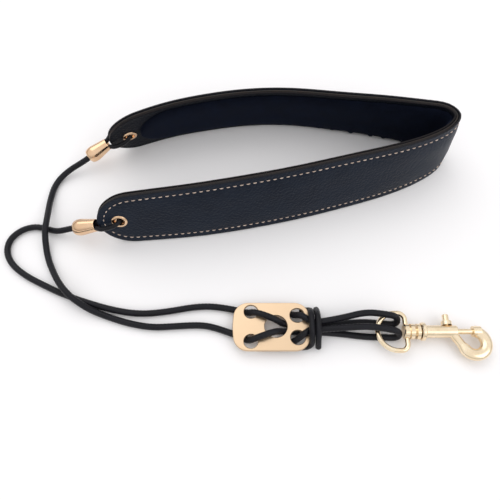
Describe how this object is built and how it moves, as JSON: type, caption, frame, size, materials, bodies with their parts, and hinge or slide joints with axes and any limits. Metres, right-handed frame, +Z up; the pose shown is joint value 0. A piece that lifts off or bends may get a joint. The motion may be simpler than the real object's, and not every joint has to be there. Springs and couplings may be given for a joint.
{
  "type": "saxophone neck strap",
  "caption": "Padded leather neck band with a drawn braided cord, a sliding adjuster plate and a swivelling bolt snap hook that carries a wind instrument.",
  "frame": {"origin": "middle of the underside of the strap as it lies on a table, without its two free cords", "axes": "+X along the strap towards the snap hook, +Y from the hook side towards the back arm of the band, +Z up from the table"},
  "size_m": [0.3021, 0.1818, 0.0452],
  "materials": {
    "outer_leather": "pebbled dark navy, semi-matt",
    "backing_leather": "pebbled dark navy, matt",
    "foam": "closed-cell foam with a dark painted edge",
    "lining": "short navy plush",
    "rose_brass": "polished rose gold plating",
    "plate_brass": "brushed champagne gold plating",
    "hook_brass": "polished pale gold plating",
    "spring_steel": "bright spring wire",
    "braided_cord": "tight black polyester braid"
  },
  "bodies": {
    "strap": {"outer_leather": "outer_leather", "foam_core": "foam", "backing_leather": "backing_leather", "lining_pad": "lining", "eyelet_front": "rose_brass", "eyelet_back": "rose_brass", "eyelet_washer_front": "rose_brass", "eyelet_washer_back": "rose_brass", "ferrule_front": "rose_brass", "ferrule_back": "rose_brass", "end_loop_front": "braided_cord", "end_loop_back": "braided_cord", "cord_front": "braided_cord", "cord_back": "braided_cord"},
    "adjuster": {"adjuster_plate": "plate_brass", "lacing_front": "braided_cord", "lacing_back": "braided_cord", "tail_front": "braided_cord", "tail_back": "braided_cord", "hitch_turn_1": "braided_cord", "hitch_turn_2": "braided_cord"},
    "cord_bights": {"bight_front": "braided_cord", "bight_back": "braided_cord"},
    "eye": {"swivel_eye": "hook_brass"},
    "hook": {"hook_body": "hook_brass", "swivel_cap": "hook_brass", "spring_washer": "spring_steel", "bolt_spring": "spring_steel"},
    "bolt": {"bolt": "hook_brass", "thumb_stud": "hook_brass"}
  },
  "joints": [
    {"name": "adjuster_slide", "type": "slide", "parent": "strap", "child": "adjuster", "axis": [1, 0, 0], "range_m": [-0.045, 0.045], "deforming": ["cord_front", "cord_back"]},
    {"name": "bights_slide", "type": "slide", "parent": "adjuster", "child": "cord_bights", "axis": [1, 0, 0], "range_m": [-0.0225, 0.0225], "deforming": ["bight_front", "bight_back"]},
    {"name": "eye_swing", "type": "hinge", "parent": "cord_bights", "child": "eye", "pos_m": [0.0628, -0.0735, 0.006], "axis": [0, -1, 0], "range_deg": [0, 60]},
    {"name": "hook_swivel", "type": "hinge", "parent": "eye", "child": "hook", "pos_m": [0.0866, -0.0735, 0.006], "axis": [1, 0, 0], "continuous": true},
    {"name": "bolt_slide", "type": "slide", "parent": "hook", "child": "bolt", "axis": [-1, 0, 0], "range_m": [0, 0.008], "stiffness_N_per_m": 150, "springref_m": -0.01, "deforming": ["bolt_spring"]}
  ],
  "couplings": [
    {"joint": "bights_slide", "follows": "adjuster_slide", "ratio": -0.5}
  ]
}
